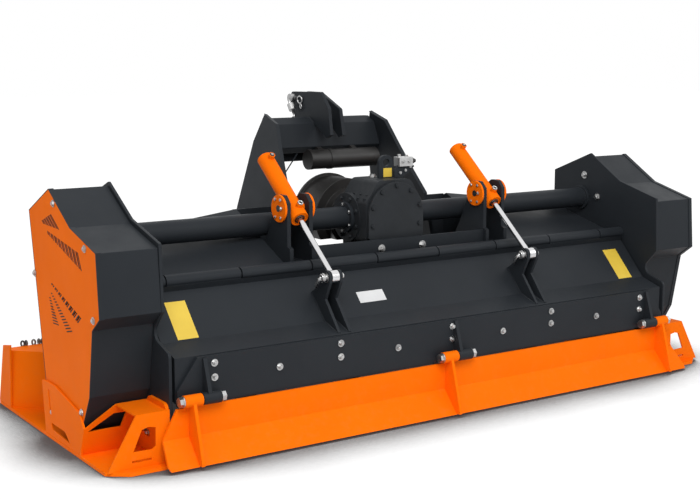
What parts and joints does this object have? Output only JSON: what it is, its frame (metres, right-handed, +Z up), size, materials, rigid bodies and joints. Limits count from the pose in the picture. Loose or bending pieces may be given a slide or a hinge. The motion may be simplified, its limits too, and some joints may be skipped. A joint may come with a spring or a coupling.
{
  "type": "tractor stone crusher",
  "caption": "Three-point-hitch stone crusher: toothed rotor in a steel housing between belt cases on skids, with hydraulic rear hood and hanging flap.",
  "frame": {"origin": "on the floor under the middle of the machine's bounding box", "axes": "+X to the machine's right, +Y forwards to the tractor, +Z up"},
  "size_m": [2.436, 1.091, 1.0309],
  "materials": {
    "dark_paint": "satin",
    "orange_paint": "satin",
    "gearbox_iron": "painted casting",
    "bright_steel": "zinc plated",
    "rotor_steel": "painted, worn teeth",
    "chrome_rod": "hard chrome",
    "black_plastic": "satin"
  },
  "bodies": {
    "frame": {"belt_case_left": "dark_paint", "belt_case_right": "dark_paint", "belt_cover_left": "orange_paint", "belt_cover_right": "orange_paint", "chain_curtain": "bright_steel", "crushing_bar": "bright_steel", "cylinder_bracket_left": "dark_paint", "cylinder_bracket_right": "dark_paint", "document_tube": "black_plastic", "front_bar": "dark_paint", "gearbox": "gearbox_iron", "gearbox_cover": "gearbox_iron", "gearbox_mount": "dark_paint", "headstock_beam": "dark_paint", "headstock_upright_left": "dark_paint", "headstock_upright_right": "dark_paint", "hinge_rod": "bright_steel", "lifting_lug": "dark_paint", "lower_link_pins": "bright_steel", "pto_guard": "black_plastic", "rotor_housing": "dark_paint", "shaft_tube_left": "dark_paint", "shaft_tube_right": "dark_paint", "side_plate_left": "dark_paint", "side_plate_right": "dark_paint", "skid_left": "orange_paint", "skid_right": "orange_paint", "top_link_bracket": "dark_paint", "top_link_pin": "bright_steel", "trunnion_discs": "orange_paint", "valve_block": "bright_steel"},
    "rotor": {"rotor": "rotor_steel"},
    "pto_shaft": {"pto_shaft": "bright_steel"},
    "rear_hood": {"rear_hood": "dark_paint", "wear_plate": "dark_paint", "rod_pins": "bright_steel", "flap_pins": "bright_steel"},
    "rear_flap": {"rear_flap": "orange_paint"},
    "cylinder_barrel_left": {"cylinder_barrel_left": "orange_paint"},
    "cylinder_barrel_right": {"cylinder_barrel_right": "orange_paint"},
    "cylinder_rod_left": {"cylinder_rod_left": "chrome_rod"},
    "cylinder_rod_right": {"cylinder_rod_right": "chrome_rod"}
  },
  "joints": [
    {"name": "rotor_spin", "type": "hinge", "parent": "frame", "child": "rotor", "pos_m": [0, -0.0895, 0.24], "axis": [1, 0, 0], "continuous": true},
    {"name": "pto_spin", "type": "hinge", "parent": "frame", "child": "pto_shaft", "pos_m": [0, 0.1205, 0.581], "axis": [0, 1, 0], "continuous": true},
    {"name": "hood_hinge", "type": "hinge", "parent": "frame", "child": "rear_hood", "pos_m": [0, -0.2195, 0.489], "axis": [-1, 0, 0], "range_deg": [0, 35]},
    {"name": "flap_hinge", "type": "hinge", "parent": "rear_hood", "child": "rear_flap", "pos_m": [0, -0.4815, 0.19], "axis": [-1, 0, 0], "range_deg": [0, 70]},
    {"name": "barrel_tilt_left", "type": "hinge", "parent": "frame", "child": "cylinder_barrel_left", "pos_m": [-0.412, -0.1315, 0.672], "axis": [-1, 0, 0], "range_deg": [0, 13.4]},
    {"name": "rod_slide_left", "type": "slide", "parent": "cylinder_barrel_left", "child": "cylinder_rod_left", "axis": [0, 0.7709, 0.637], "range_m": [0, 0.062]},
    {"name": "barrel_tilt_right", "type": "hinge", "parent": "frame", "child": "cylinder_barrel_right", "pos_m": [0.412, -0.1315, 0.672], "axis": [-1, 0, 0], "range_deg": [0, 13.4]},
    {"name": "rod_slide_right", "type": "slide", "parent": "cylinder_barrel_right", "child": "cylinder_rod_right", "axis": [0, 0.7709, 0.637], "range_m": [0, 0.062]}
  ],
  "couplings": [
    {"joint": "pto_spin", "follows": "rotor_spin", "ratio": 1.18},
    {"joint": "barrel_tilt_left", "follows": "hood_hinge", "ratio": 0.37979},
    {"joint": "rod_slide_left", "follows": "hood_hinge", "m_per_rad": 0.10095},
    {"joint": "barrel_tilt_right", "follows": "hood_hinge", "ratio": 0.37979},
    {"joint": "rod_slide_right", "follows": "hood_hinge", "m_per_rad": 0.10095}
  ]
}
